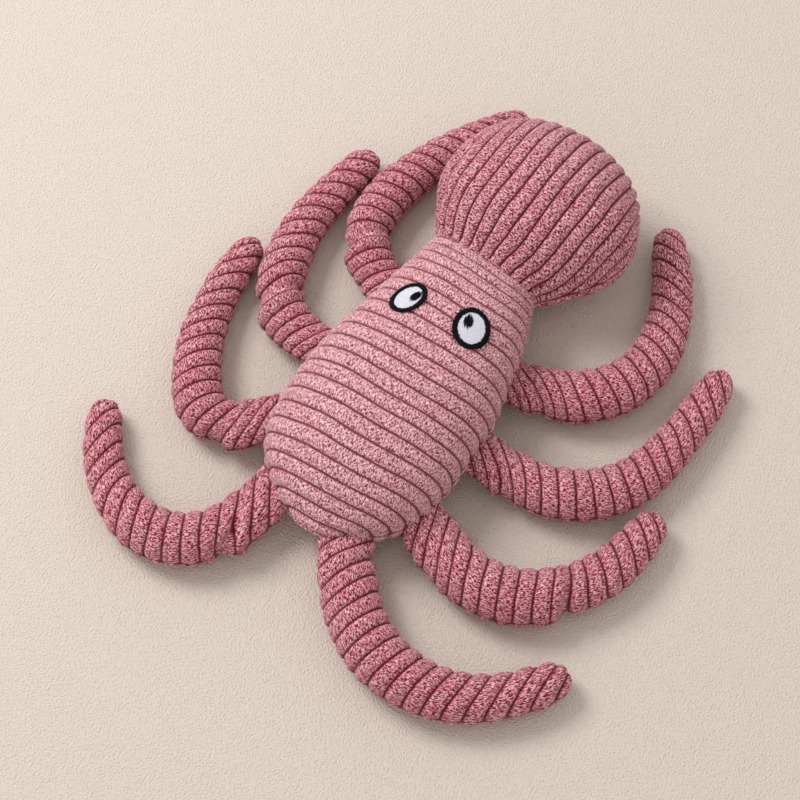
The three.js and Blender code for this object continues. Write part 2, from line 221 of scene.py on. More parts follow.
# The pile: where its painted highlights on the tufts' tips and its painted shade in the pits between them
# start and are full in its noise, and where the painted shade in a groove starts and is full down the wale's
# side, their strengths and that of the soft patches, and how far the colours of the highlights, the painted
# shade and the sheen are from the cloth's
TIP_HIGHLIGHT_RANGE = (0.53, 0.62)
PIT_RANGE = (0.48, 0.4)
GROOVE_SHADE_RANGE = (0.7, 0.34)
PIT_SHARE = 0.95
GROOVE_SHADE_SHARE = 0.97
CLOUD_SHARE = 0.5
HIGHLIGHT_WHITE_SHARE = 0.38
PILE_SHADE_SHARE = 0.33
SHEEN_WHITE_SHARE = 0.5

# Embroidery: a thread's bow in shares of its length and width, and the strands that it is twisted of
THREAD_BOW_SHARES = {
    "Start": (-0.5, 0, -0.9), "Start Handle": (-0.36, 0, 0.1),
    "End Handle": (0.36, 0, 0.1), "End": (0.5, 0, -0.9),
}
THREAD_STEPS = 5
THREAD_SIDES = 6
STRANDS_PER_METRE = 1500.0
STRAND_HEIGHT = 0.0001
STRAND_SHADE_SHARES = (0.7, 1.15)

# Stitches: the shift from row to row and the overlap of those that fill, how unevenly they are guided,
# as shares and in radians, and how far the white reaches under the outline and the pile is pressed
BRICK_SHARE = 0.37
OVERLAP_SHARE = 1.08
FILL_WAVER = 0.03
RING_WAVER = 0.12
RING_STEP_SHARE = 0.5
RING_SHIFT_SHARE = 0.07
RING_LENGTH_SHARE = 0.95
RING_LENGTH_WAVER_SHARE = 0.13
STRAY_STITCH_SHARE = 0.04
STRAY_SHIFT_SHARE = 0.25
STRAY_LENGTH_SHARE = 0.5
TICK_OUT_SHARE = 1 / 3
WHITE_INSET_SHARE = 0.8
PRESSED_REACH_SHARE = 1.06
PRESSED_FADE_SHARE = 0.12
TORSO_SURFACE = "torso surface"
TORSO_SURFACE_THINNING = 4

# Seeds for the unevenness of each cover and each eye's stitches
TORSO_SEED = 1.0
HEAD_SEED = 2.0
FIRST_ARM_SEED = 3
FIRST_EYE_SEED = 21

# The cloth's sizes that the tree of its wales takes, named as in the panel
WALE_INPUTS = (
    "Wale Pitch", "Groove Depth", "Seam Depth", "Seam Reach", "Press Depth", "Lump Size", "Lump Height",
    "Wander", "Wander Size", "Pile Size", "Pile Height", "Wale Roundness",
)

# Node trees: the kinds of their sockets, and how far apart their nodes are laid out
GEOMETRY = "NodeSocketGeometry"
MATERIAL = "NodeSocketMaterial"
COLOUR = "NodeSocketColor"
FLOAT = "NodeSocketFloat"
NODE_SPACING = 180


# The kinds of size that a user can change

def metres(name, description, default):
    return FloatProperty(name=name, description=description, default=default, unit="LENGTH")


def degrees(name, description, default):
    return FloatProperty(name=name, description=description, default=math.radians(default), subtype="ANGLE")


def number(name, description, default):
    return FloatProperty(name=name, description=description, default=default)


def tint(name, description, default):
    return FloatVectorProperty(name=name, description=description, default=default, subtype="COLOR")


class OctopusTorsoSizes(bpy.types.PropertyGroup):
    length: metres("Length", "Lower end to the neck seam", 0.161)
    lower_length: metres("Lower Length", "Lower end to the origin", 0.079)
    width: metres("Width", "Across the side seams", 0.095)
    crown: metres("Crown", "Rise over the side seams", 0.038)
    seam_height: metres("Seam Height", "Side seams over the ground", 0.022)
    neck_seam_height: metres("Neck Seam Height", "Side seams at the neck", 0.026)
    lean: metres("Lean", "Shift of the upper part to the right", 0.0032)
    heading: degrees("Heading", "Way up the torso in plan", 90)
    neck_heading: degrees("Neck Heading", "Way through the neck in plan", 85)
    fullness: number("Fullness", "Exponent of its section, 2 is an ellipse", 2.3)
    swell: metres("Swell", "Most that the filling moves the cover", 0.0025)
    wale_bow: metres("Wale Bow", "Rise of the wales to the right side", 0.0075)
    wale_slant: degrees("Wale Slant", "Turn of the wales across the torso", -3)


class OctopusHeadSizes(bpy.types.PropertyGroup):
    length: metres("Length", "Neck seam to crown", 0.084)
    width: metres("Width", "Across the side seams", 0.105)
    crown: metres("Crown", "Rise over the side seams", 0.041)
    seam_height: metres("Seam Height", "Side seams over the ground", 0.038)
    fullness: number("Fullness", "Exponent of its section, 2 is an ellipse", 2.1)
    swell: metres("Swell", "Most that the filling moves the cover", 0.0025)
    neck_inset: metres("Neck Inset", "Stretch tucked into the torso", 0.003)
    wrap: number("Wrap", "How far the wales follow the sides round", 0.8)
    lean: metres("Lean", "Shift of the crown to the right", 0.007)


class OctopusArmSizes(bpy.types.PropertyGroup):
    length: metres("Length", "Sewn root to tip", 0.153)
    width: metres("Width", "Across the seams", 0.028)
    height: metres("Height", "Underside to back", 0.0265)
    root_lift: metres("Root Lift", "Rise to the torso's seam", 0.0105)
    root_run: metres("Root Run", "Stretch over which the root swells", 0.038)
    root_inset: metres("Root Inset", "Stretch hidden in the torso", 0.008)
    crease_width: metres("Crease Width", "Half width of a crease", 0.0032)
    swell: metres("Swell", "Most that the filling moves the cover", 0.0016)
    bend: metres("Bend", "Stretch over which a root gives as it lifts", 0.02)


class OctopusCorduroy(bpy.types.PropertyGroup):
    wale_pitch: metres("Wale Pitch", "From groove to groove", 0.0083)
    groove_depth: metres("Groove Depth", "Crest to groove", 0.0025)
    wale_roundness: number("Wale Roundness", "Low is flat with sharp grooves", 0.42)
    seam_depth: metres("Seam Depth", "Tuck of the cloth at a seam", 0.0018)
    seam_reach: metres("Seam Reach", "Rounded end of a wale at a seam", 0.0042)
    press_depth: metres("Press Depth", "Pile pressed down by stitching", 0.0009)
    lump_size: metres("Lump Size", "Spacing of the soft lumps", 0.03)
    lump_height: metres("Lump Height", "Height of the soft lumps", 0.0018)
    pressure: number("Pressure", "Push of the filling on the cover", 4.0)
    slack: number("Slack", "Share by which the cover is too large", 0.08)
    wander: metres("Wander", "Sideways waver of the wales", 0.0022)
    wander_size: metres("Wander Size", "Spacing of the waver", 0.022)
    pile_size: metres("Pile Size", "Spacing of the tufts", 0.0013)
    pile_height: metres("Pile Height", "Height of the tufts", 0.0004)
    stroke_width: metres("Stroke Width", "Width of a stroke of pile", 0.00055)
    stroke_length: metres("Stroke Length", "Length of a stroke of pile", 0.0013)
    fine_step: metres("Fine Step", "Mesh spacing across the wales", 0.0005)
    long_step: metres("Long Step", "Mesh spacing along the wales", 0.0008)
    # One cloth all over: the torso's colour is painted lighter, and the head's and the arms' deeper, for how
    # the light falls on the pile of each part
    torso_colour: tint("Torso", "Torso cloth", (0.83, 0.355, 0.41))
    head_colour: tint("Head", "Head cloth", (0.69, 0.195, 0.255))
    arm_colour: tint("Arms", "Arm cloth", (0.67, 0.155, 0.21))


class OctopusEyeSizes(bpy.types.PropertyGroup):
    length: metres("Length", "Long way over the outline", 0.022)
    width: metres("Width", "Short way over the outline", 0.018)
    pupil_width: metres("Pupil Width", "Across the pupil", 0.0047)
    pupil_length: metres("Pupil Length", "Along the pupil", 0.0048)
    tick_length: metres("Tick", "Thread from pupil to outline", 0.003)
    outline_width: metres("Outline", "Width of the black outline", 0.0015)
    thread_width: metres("Thread", "Width of a stitch", 0.0005)
    thread_step: metres("Thread Step", "From row to row of stitches", 0.00046)
    stitch_length: metres("Stitch", "Length of a white stitch", 0.0034)
    pad_height: metres("Pad Height", "Rise of the stitching", 0.0011)
    white_colour: tint("White", "White thread", (0.84, 0.82, 0.9))
    black_colour: tint("Black", "Black thread", (0.003, 0.003, 0.003))


class OctopusStage(bpy.types.PropertyGroup):
    camera_azimuth: degrees("Azimuth", "Camera's turn about the part", 31)
    camera_elevation: degrees("Elevation", "Camera's height angle", 65)
    camera_distance: metres("Distance", "Camera to target", 1.1)
    target: FloatVectorProperty(
        name="Target", description="What the camera looks at", default=(-0.00267, 0.01121, 0), subtype="XYZ")
    field_of_view: degrees("Field Of View", "Whole angle of view", 20.6097)
    floor_size: metres("Floor Size", "Side of the floor", 6.0)
    floor_colour: tint("Floor", "Floor", (0.705, 0.615, 0.53))
    floor_grain: metres("Floor Grain", "Spacing of the floor's grain", 0.0011)
    key_power: FloatProperty(
        name="Key Power", description="Lamp from the upper left", default=17.5, unit="POWER")
    key_size: metres("Key Size", "Side of the lamp", 0.7)
    key_left: metres("Key Left", "Lamp to the left of the target", 0.9)
    key_behind: metres("Key Behind", "Lamp beyond the target", 0.6)
    key_height: metres("Key Height", "Lamp over the target", 1.3)
    world_strength: number("World Strength", "Even light from all round", 0.7)


# Curves and paths

def spline(knots, values, at):
    """Rows of values read smoothly between their knots"""
    slopes = np.gradient(values, knots, axis=0)
    first = np.clip(np.searchsorted(knots, at, side="right") - 1, 0, len(knots) - 2)
    span = (knots[first + 1] - knots[first])[:, None]
    t = (at - knots[first])[:, None] / span
    rising = 3 * t**2 - 2 * t**3
    start = (1 - rising) * values[first] + rising * values[first + 1]
    return start + span * ((t**3 - 2 * t**2 + t) * slopes[first] + (t**3 - t**2) * slopes[first + 1])


def chord(points):
    """Distance along a row of points"""
    return np.concatenate([[0], np.cumsum(np.linalg.norm(np.diff(points, axis=0), axis=1))])


def mirrored(row):
    """A row of sizes past a closed end, where the form would come out on its other side"""
    past = row.copy()
    past[[HALF_WIDTH, CROWN, DEPTH]] *= -1
    return past


def smooth_rows(table, step, closed_start, closed_end):
    """Even rows over a form from the table of its stations, and how far each row lies along the
    form's surface"""
    start = [mirrored(table[1])[None]] if closed_start else []
    end = [mirrored(table[-2])[None]] if closed_end else []
    padded = np.concatenate([*start, table, *end])
    knots = chord(padded[:, [PLACE, HALF_WIDTH, CROWN]])
    low = knots[1] if closed_start else 0
    high = knots[-2] if closed_end else knots[-1]
    fine = spline(knots, padded, np.linspace(low, high, FORM_STEPS))
    reaches = [HALF_WIDTH, CROWN, DEPTH]
    fine[:, reaches] = np.maximum(fine[:, reaches], 0)
    surface = chord(fine[:, [PLACE, CROWN]])
    at = np.linspace(0, surface[-1], int(surface[-1] / step) + 2)
    rows = np.column_stack([np.interp(at, surface, column) for column in fine.T])
    return rows, at


def walk(heading_at, length, start, behind=0.0):
    """A path in plan that follows its heading. Returns a reader of its x, y and heading"""
    steps = np.linspace(-behind, length, PATH_STEPS)
    headings = np.array([heading_at(max(step, 0)) for step in steps])
    middle = (headings[1:] + headings[:-1]) / 2
    moves = np.diff(steps)
    x = np.concatenate([[0], np.cumsum(np.cos(middle) * moves)])
    y = np.concatenate([[0], np.cumsum(np.sin(middle) * moves)])
    x += start[0] - np.interp(0, steps, x)
    y += start[1] - np.interp(0, steps, y)
    return lambda at: np.column_stack([np.interp(at, steps, column) for column in (x, y, headings)])


def leaned(path, lean):
    """A path with each place moved to the right of its heading"""
    heading = path[:, HEADING]
    aside = np.column_stack([np.sin(heading), -np.cos(heading), np.zeros(len(path))])
    return path + aside * lean[:, None]


def even_arc(half_width, reach, count, fullness):
    """Points over half a rounded section from its right end to its left, evenly spaced, and its length"""
    angle = np.linspace(0, math.pi, ARC_STEPS + 1)
    across = np.sign(np.cos(angle)) * np.abs(np.cos(angle)) ** (2 / fullness)
    arc = np.column_stack([half_width * across, reach * np.abs(np.sin(angle)) ** (2 / fullness)])
    length = chord(arc)
    at = np.linspace(0, length[-1], count + 1)
    across = np.interp(at, length, arc[:, 0])
    up = np.interp(at, length, arc[:, 1])
    return across, up, length[-1]


def form_grid(path, rows, count, fullness=2.0):
    """Rings of points round a form, from its right seam over the crown and back under it, with
    the distance of each point left of the middle in plan, its distance from the seams, and its
    distance round the form from the middle of its side"""
    points, lefts, edges, arounds = [], [], [], []
    for (x, y, heading), (_, half_width, crown, depth, seam_height) in zip(path, rows[:, :LEAN]):
        halves = []
        for reach, way in ((crown, 1), (depth, -1)):
            across, up, length = even_arc(half_width, reach, count, fullness)
            along = np.linspace(-length / 2, length / 2, count + 1)
            edge = length / 2 - np.abs(along)
            halves.append([way * across[:-1], way * up[:-1], edge[:-1], way * along[:-1]])
        right, up, edge, around = np.concatenate(halves, axis=1)
        ring = [x + right * math.sin(heading), y - right * math.cos(heading), seam_height + up]
        points.append(np.column_stack(ring))
        lefts.append(-right)
        edges.append(edge)
        arounds.append(around)
    return np.array(points), np.array(lefts), np.array(edges), np.array(arounds)


# Meshes

def grid_mesh(name, points, attributes):
    """A closed mesh over rings of points, with a pole at each end and a value for each point"""
    rows, columns = points.shape[:2]
    corner = np.arange(rows * columns).reshape(rows, columns)
    after = np.roll(corner, -1, axis=1)
    quads = np.stack([corner[:-1], corner[1:], after[1:], after[:-1]], axis=-1).reshape(-1, 4)
    start, end = rows * columns, rows * columns + 1
    first = [(start, a, b) for a, b in zip(corner[0].tolist(), after[0].tolist())]
    last = [(end, b, a) for a, b in zip(corner[-1].tolist(), after[-1].tolist())]
    poles = [points[0].mean(axis=0), points[-1].mean(axis=0)]
    mesh = bpy.data.meshes.new(name)
    vertices = np.concatenate([points.reshape(-1, 3), poles])
    mesh.from_pydata(vertices.tolist(), [], quads.tolist() + first + last)
    for label, values in attributes.items():
        flat = np.concatenate([values.reshape(-1), [values[0].mean(), values[-1].mean()]])
        mesh.attributes.new(label, "FLOAT", "POINT").data.foreach_set("value", flat.astype(np.float32))
    mesh.shade_smooth()
    return mesh


def add_object(name, data):
    """An object in the scene, at the origin, with its mesh, lamp or camera"""
    piece = bpy.data.objects.new(name, data)
    bpy.context.scene.collection.objects.link(piece)
    return piece


def apply_tree(piece, tree, values):
    """Runs a Geometry Nodes tree on a piece, and keeps the result as the piece's plain mesh"""
    modifier = piece.modifiers.new(tree.name, "NODES")
    modifier.node_group = tree
    for item in tree.interface.items_tree:
        if item.item_type == "SOCKET" and item.in_out == "INPUT" and item.name in values:
            modifier[item.identifier] = values[item.name]
    evaluated = piece.evaluated_get(bpy.context.evaluated_depsgraph_get())
    mesh = bpy.data.meshes.new_from_object(evaluated)
    piece.modifiers.remove(modifier)
    smooth = piece.data
    piece.data = mesh
    bpy.data.meshes.remove(smooth)
    mesh.name = piece.name


def rest_on_ground(piece):
    """Nothing of a piece reaches below the ground that it lies on"""
    mesh = piece.data
    places = np.zeros(len(mesh.vertices) * 3)
    mesh.vertices.foreach_get("co", places)
    places = places.reshape(-1, 3)
    places[:, Z] = np.maximum(places[:, Z], 0)
    mesh.vertices.foreach_set("co", places.reshape(-1))
    mesh.update()


# Stuffing

def stuffed(scene, points, most):
    """A form's points after its filling has pushed out its slack cover, by a cloth simulation on a
    coarse copy that is held at its ends and side seams"""
    cloth = scene.octopus_corduroy
    count = points.shape[1]
    length = chord(points[:, count // 4])[-1]
    girth = chord(points[len(points) // 2])[-1]
    rows = np.linspace(0, len(points) - 1, int(length / STUFFING_STEP)).astype(int)
    columns = np.linspace(0, count, 4 * int(girth / STUFFING_STEP / 4), endpoint=False).astype(int)
    coarse = points[np.ix_(rows, columns)]
    mesh = grid_mesh("stuffing", coarse, {})
    piece = add_object("stuffing", mesh)
    corner = np.arange(coarse.shape[0] * coarse.shape[1]).reshape(coarse.shape[:2])
    seams = corner[:, [0, len(columns) // 2]]
    fixed = np.concatenate([corner[:2].ravel(), corner[-2:].ravel(), seams.ravel()])
    held = piece.vertex_groups.new(name="held")
    held.add(fixed.tolist(), 1.0, "REPLACE")
    modifier = piece.modifiers.new("Stuffing", "CLOTH")
    modifier.settings.use_pressure = True
    modifier.settings.uniform_pressure_force = cloth.pressure
    modifier.settings.shrink_min = -cloth.slack
    modifier.settings.vertex_group_mass = held.name
    modifier.settings.effector_weights.gravity = 0
    for frame_number in range(1, STUFFING_FRAMES + 1):
        scene.frame_set(frame_number)
    evaluated = piece.evaluated_get(bpy.context.evaluated_depsgraph_get())
    places = np.zeros(len(evaluated.data.vertices) * 3)
    evaluated.data.vertices.foreach_get("co", places)
    moved = places.reshape(-1, 3)[:corner.size].reshape(coarse.shape) - coarse
    bpy.data.objects.remove(piece)
    bpy.data.meshes.remove(mesh)
    scene.frame_set(1)
    moved *= np.minimum(most / np.maximum(np.linalg.norm(moved, axis=2), TINY), 1)[..., None]
    return points + spread_grid(moved, rows, columns, points.shape[:2])


def spread_grid(values, rows, columns, shape):
    """Values on a coarse closed grid, read smoothly at each place of the fine one"""
    wrapped = np.concatenate([values[:, -2:], values, values[:, :2]], axis=1)
    knots = np.concatenate([columns[-2:] - shape[1], columns, columns[:2] + shape[1]])
    across = np.swapaxes(wrapped, 0, 1).reshape(len(knots), -1)
    fine = spline(knots, across, np.arange(shape[1])).reshape(shape[1], len(rows), 3)
    along = np.swapaxes(fine, 0, 1).reshape(len(rows), -1)
    return spline(rows, along, np.arange(shape[0])).reshape(shape[0], shape[1], 3)


# Node trees

def new_tree(name, kind, inputs, outputs):
    """An empty tree with its named inputs and outputs, each a label and a kind of socket"""
    tree = bpy.data.node_groups.new(name, kind)
    for label, socket in inputs:
        tree.interface.new_socket(name=label, in_out="INPUT", socket_type=socket)
    for label, socket in outputs:
        tree.interface.new_socket(name=label, in_out="OUTPUT", socket_type=socket)
    return tree


def add_node(tree, kind, inputs=None, **settings):
    """A node with its settings made and its inputs joined or set"""
    node = tree.nodes.new(kind)
    node.location = (NODE_SPACING * len(tree.nodes), 0)
    for label, value in settings.items():
        setattr(node, label, value)
    set_inputs(tree, node, inputs or {})
    return node


def set_inputs(tree, node, inputs):
    """Joins or sets a node's inputs by their labels"""
    for label, value in inputs.items():
        feed(tree, node.inputs[label], value)


def feed(tree, socket, value):
    """Joins another node's output to a socket, or sets it to a plain value"""
    if isinstance(value, bpy.types.NodeSocket):
        tree.links.new(value, socket)
    else:
        socket.default_value = value


def maths(tree, operation, *values):
    """The result of an operation on sockets or plain numbers"""
    node = add_node(tree, "ShaderNodeMath", operation=operation)
    for socket, value in zip(node.inputs, values):
        feed(tree, socket, value)
    return node.outputs[0]


def plain_sums(tree):
    """Adding, subtracting, multiplying and dividing in a tree"""
    return [partial(maths, tree, operation) for operation in ("ADD", "SUBTRACT", "MULTIPLY", "DIVIDE")]


def noise(tree, place, size, seed, detail=0.0):
    """Noise from -0.5 to 0.5 about, whose lumps have a size in metres"""
    inputs = {"Vector": place, "Scale": maths(tree, "DIVIDE", 1.0, size), "W": seed, "Detail": detail}
    node = add_node(tree, "ShaderNodeTexNoise", inputs, noise_dimensions="4D")
    return maths(tree, "SUBTRACT", node.outputs[0], 0.5)


def named(tree, label):
    """A value kept on the mesh"""
    node = add_node(tree, "GeometryNodeInputNamedAttribute", {"Name": label}, data_type="FLOAT")
    return node.outputs["Attribute"]


def corduroy_tree():
    """Raises wales, tufts and soft lumps on a smooth form, and tucks the cloth in at its seams"""
    sizes = [(label, FLOAT) for label in (*WALE_INPUTS, "Seed")]
    inputs = [("Geometry", GEOMETRY), *sizes, ("Material", MATERIAL)]
    tree = new_tree("Corduroy Wales", "GeometryNodeTree", inputs, [("Geometry", GEOMETRY)])
    given = add_node(tree, "NodeGroupInput").outputs
    plus, minus, times, over = plain_sums(tree)
    seed = given["Seed"]
    place = add_node(tree, "GeometryNodeInputPosition").outputs[0]
    waver = times(noise(tree, place, given["Wander Size"], seed), given["Wander"])
    phase = over(plus(named(tree, "wale"), waver), given["Wale Pitch"])
    wave = maths(tree, "ABSOLUTE", maths(tree, "SINE", times(phase, math.pi)))
    arch = maths(tree, "POWER", wave, given["Wale Roundness"])
    near = maths(tree, "MINIMUM", over(named(tree, "edge"), given["Seam Reach"]), 1.0)
    short = minus(1.0, near)
    end = maths(tree, "SQRT", minus(1.0, times(short, short)))
    full_groove = times(minus(arch, 1.0), given["Groove Depth"])
    groove = times(times(full_groove, named(tree, "gather")), end)
    tuck = times(minus(end, 1.0), given["Seam Depth"])
    lump = times(noise(tree, place, given["Lump Size"], seed), given["Lump Height"])
    tuft = times(noise(tree, place, given["Pile Size"], seed, 1.0), given["Pile Height"])
    loose = plus(plus(groove, tuck), plus(lump, tuft))
    free = minus(1.0, named(tree, "pressed"))
    pressed = times(named(tree, "pressed"), given["Press Depth"])
    height = minus(times(loose, free), pressed)
    normal = add_node(tree, "GeometryNodeInputNormal").outputs["Normal"]
    offset = add_node(tree, "ShaderNodeVectorMath", operation="SCALE")
    feed(tree, offset.inputs[0], normal)
    feed(tree, offset.inputs["Scale"], height)
    stored = add_node(tree, "GeometryNodeStoreNamedAttribute", {
        "Geometry": given["Geometry"], "Name": "crest", "Value": times(arch, end),
    }, data_type="FLOAT", domain="POINT")
    moved = add_node(tree, "GeometryNodeSetPosition", {
        "Geometry": stored.outputs[0], "Offset": offset.outputs[0],
    })
    finish_tree(tree, moved.outputs[0], given["Material"])
    return tree


def finish_tree(tree, geometry, material):
    """Every tree ends in real meshes with their material"""
    real = add_node(tree, "GeometryNodeRealizeInstances", {"Geometry": geometry})
    dressed = add_node(tree, "GeometryNodeSetMaterial", {"Geometry": real.outputs[0], "Material": material})
    add_node(tree, "NodeGroupOutput", {"Geometry": dressed.outputs[0]})


def stitch_tree():
    """Lays a bowed thread on each point, along one direction kept there and standing on another"""
    inputs = [("Geometry", GEOMETRY), ("Thread Width", FLOAT), ("Material", MATERIAL)]
    tree = new_tree("Thread Stitches", "GeometryNodeTree", inputs, [("Geometry", GEOMETRY)])
    given = add_node(tree, "NodeGroupInput").outputs
    bow = add_node(tree, "GeometryNodeCurvePrimitiveBezierSegment", {
        "Resolution": THREAD_STEPS, **THREAD_BOW_SHARES,
    })
    round_profile = add_node(tree, "GeometryNodeCurvePrimitiveCircle", {
        "Resolution": THREAD_SIDES, "Radius": 0.5,
    })
    thread = add_node(tree, "GeometryNodeCurveToMesh", {
        "Curve": bow.outputs[0], "Profile Curve": round_profile.outputs[0], "Fill Caps": True,
    })
    vectors = {}
    for label in ("along", "upward"):
        source = add_node(tree, "GeometryNodeInputNamedAttribute", {"Name": label}, data_type="FLOAT_VECTOR")
        vectors[label] = source.outputs["Attribute"]
    turn = add_node(tree, "FunctionNodeAxesToRotation", {
        "Primary Axis": vectors["upward"], "Secondary Axis": vectors["along"],
    }, primary_axis="Z", secondary_axis="X")
    size = add_node(tree, "ShaderNodeCombineXYZ", {
        "X": named(tree, "reach"), "Y": given["Thread Width"], "Z": given["Thread Width"],
    })
    laid = add_node(tree, "GeometryNodeInstanceOnPoints", {
        "Points": given["Geometry"], "Instance": thread.outputs[0],
        "Rotation": turn.outputs[0], "Scale": size.outputs[0],
    })
    finish_tree(tree, laid.outputs[0], given["Material"])
    return tree


# Materials

def pile_group():
    """The colour and the height of brushed pile: short strokes across each wale, with painted highlights on
    their tips, and painted shade in the pits between them and in the grooves
    """
    inputs = [(label, COLOUR) for label in ("Cloth", "Tips", "Shade")]
    inputs += [(label, FLOAT) for label in ("Stroke Width", "Stroke Length", "Patch Size")]
    tree = new_tree("Corduroy Pile", "ShaderNodeTree", inputs, [("Color", COLOUR), ("Height", FLOAT)])
    plus, minus, times, over = plain_sums(tree)
    given = add_node(tree, "NodeGroupInput").outputs
    place = add_node(tree, "ShaderNodeTexCoord").outputs["Object"]
    along, wale, crest = (
        add_node(tree, "ShaderNodeAttribute", attribute_name=label, attribute_type="GEOMETRY").outputs["Fac"]
        for label in ("along", "wale", "crest"))
    strokes = add_node(tree, "ShaderNodeCombineXYZ", {
        "X": over(along, given["Stroke Width"]),
        "Y": over(wale, given["Stroke Length"]),
    }).outputs[0]
    tuft = add_node(tree, "ShaderNodeTexNoise", {
        "Vector": strokes, "Scale": 1.0, "Detail": 0.0, "Distortion": 0.8,
    }, noise_dimensions="2D").outputs[0]
    patch = add_node(tree, "ShaderNodeTexNoise", {
        "Vector": place, "Scale": over(1.0, given["Patch Size"]), "Detail": 1.0,
    }).outputs[0]
    # Painted highlights on the tips of the tufts, mixed towards the paler colour with the soft patches of
    # random tone
    tip = smooth_range(tree, tuft, TIP_HIGHLIGHT_RANGE)
    # Painted shade in the pits between the tufts
    pit_shade = times(smooth_range(tree, tuft, PIT_RANGE), PIT_SHARE)
    # Painted shade down the sides of each groove, where the wale's crest falls away
    deep = times(smooth_range(tree, crest, GROOVE_SHADE_RANGE), GROOVE_SHADE_SHARE)
    cloudy = times(minus(patch, 0.5), CLOUD_SHARE)
    pale_share = maths(tree, "MAXIMUM", plus(tip, cloudy), 0.0)
    pale = mix_colour(tree, pale_share, given["Cloth"], given["Tips"])
    # The painted shade of the pits and the grooves darkens the colour over the highlights and patches
    colour = mix_colour(tree, maths(tree, "MAXIMUM", pit_shade, deep), pale, given["Shade"])
    add_node(tree, "NodeGroupOutput", {"Color": colour, "Height": tuft})
    return tree


def smooth_range(tree, value, limits):
    """0 at the first limit and 1 at the second, smooth between them"""
    return add_node(tree, "ShaderNodeMapRange", {
        "Value": value, "From Min": limits[0], "From Max": limits[1],
    }, interpolation_type="SMOOTHSTEP").outputs[0]


def mix_colour(tree, share, first, second):
    """The first colour where the share is 0, and the second where it is 1"""
    node = add_node(tree, "ShaderNodeMix", {"Factor": share}, data_type="RGBA")
    pair = [socket for socket in node.inputs if socket.type == "RGBA"]
    for socket, colour in zip(pair, (first, second)):
        feed(tree, socket, colour)
    return next(socket for socket in node.outputs if socket.type == "RGBA")


def new_material(name):
    """A material with its shader, and that shader"""
    material = bpy.data.materials.new(name)
    material.use_nodes = True
    return material, material.node_tree.nodes["Principled BSDF"]


def shade_of(colour, factor):
    """A colour made darker or lighter by a factor"""
    return tuple(channel * factor for channel in colour) + (1.0,)


def deep_of(colour, factor):
    """The colour of painted shade deep in the pile and its grooves, darker and more vivid"""
    return tuple(channel**2 * factor for channel in colour) + (1.0,)


def toward_white(colour, share):
    """A colour a share of the way to white"""
    return tuple(channel + (1 - channel) * share for channel in colour) + (1.0,)


def corduroy_material(name, colour, cloth):
    """Matt brushed cotton pile"""
    material, shader = new_material(name)
    tree = material.node_tree
    group = bpy.data.node_groups.get("Corduroy Pile") or pile_group()
    # The paler colour for the painted highlights and pale patches, and the colour of the painted shade in
    # pits and grooves, both made from the cloth's
    pile = add_node(tree, "ShaderNodeGroup", {
        "Cloth": (*colour, 1.0), "Tips": toward_white(colour, HIGHLIGHT_WHITE_SHARE),
        "Shade": deep_of(colour, PILE_SHADE_SHARE), "Patch Size": cloth.lump_size,
        "Stroke Width": cloth.stroke_width, "Stroke Length": cloth.stroke_length,
    }, node_tree=group).outputs
    bump = add_node(tree, "ShaderNodeBump", {
        "Height": pile["Height"], "Strength": 0.9, "Distance": cloth.stroke_width,
    })
    set_inputs(tree, shader, {
        "Base Color": pile["Color"], "Normal": bump.outputs[0], "Roughness": 0.95,
        "Specular IOR Level": 0.1, "Sheen Weight": 0.35, "Sheen Roughness": 0.4,
        "Sheen Tint": toward_white(colour, SHEEN_WHITE_SHARE),
    })
    return material


def thread_material(name, colour, roughness):
    """Glossy embroidery thread with the fine twist of its strands"""
    material, shader = new_material(name)
    tree = material.node_tree
    place = add_node(tree, "ShaderNodeTexCoord").outputs["Object"]
    strands = add_node(tree, "ShaderNodeTexNoise", {
        "Vector": place, "Scale": STRANDS_PER_METRE, "Detail": 2.0,
    }).outputs[0]
    tones = [shade_of(colour, share) for share in STRAND_SHADE_SHARES]
    tone = mix_colour(tree, strands, *tones)
    bump = add_node(tree, "ShaderNodeBump", {
        "Height": strands, "Strength": 0.4, "Distance": STRAND_HEIGHT,
    })
    set_inputs(tree, shader, {
        "Base Color": tone, "Normal": bump.outputs[0], "Roughness": roughness, "Specular IOR Level": 0.12,
    })
    return material


def floor_material(stage):
    """Matt board with a fine grain"""
    material, shader = new_material("floor")
    tree = material.node_tree
    place = add_node(tree, "ShaderNodeTexCoord").outputs["Object"]
    grain = add_node(tree, "ShaderNodeTexNoise", {
        "Vector": place, "Scale": 1 / stage.floor_grain, "Detail": 1.0,
    }).outputs[0]
    bump = add_node(tree, "ShaderNodeBump", {
        "Height": grain, "Strength": 0.9, "Distance": stage.floor_grain,
    })
    set_inputs(tree, shader, {
        "Base Color": (*stage.floor_colour, 1.0), "Normal": bump.outputs[0], "Roughness": 0.9,
        "Specular IOR Level": 0.1,
    })
    return material


# Forms

def form_table(shares, sizes, low_seam, high_seam):
    """A form's sizes at its stations, whose seams rise from a low to a high place"""
    form = {label: np.array(row) for label, row in shares.items()}
    seam = low_seam + form["rise_shares"] * (high_seam - low_seam)
    return np.column_stack([
        form["station_shares"] * sizes.length,
        form["width_shares"] * sizes.width / 2,
        form["crown_shares"] * sizes.crown,
        form["depth_shares"] * seam,
        seam,
        form["lean_shares"] * sizes.lean,
        form["squeeze_shares"],
    ])


def with_inset(table, inset):
    """A form's table with its open end drawn out into the piece that it is sewn to"""
    inside = table[0].copy()
    inside[PLACE] = -inset
    return np.concatenate([[inside], table])


def torso_path(sizes):
    """The torso's middle line in plan, from its lower end to the neck"""
    turn = sizes.neck_heading - sizes.heading
    stations = np.array(TORSO_FORM["station_shares"]) * sizes.length
    heading_at = lambda at: sizes.heading + turn * np.interp(at, stations, TORSO_FORM["turn_shares"])
    return walk(heading_at, sizes.length, (0, -sizes.lower_length))


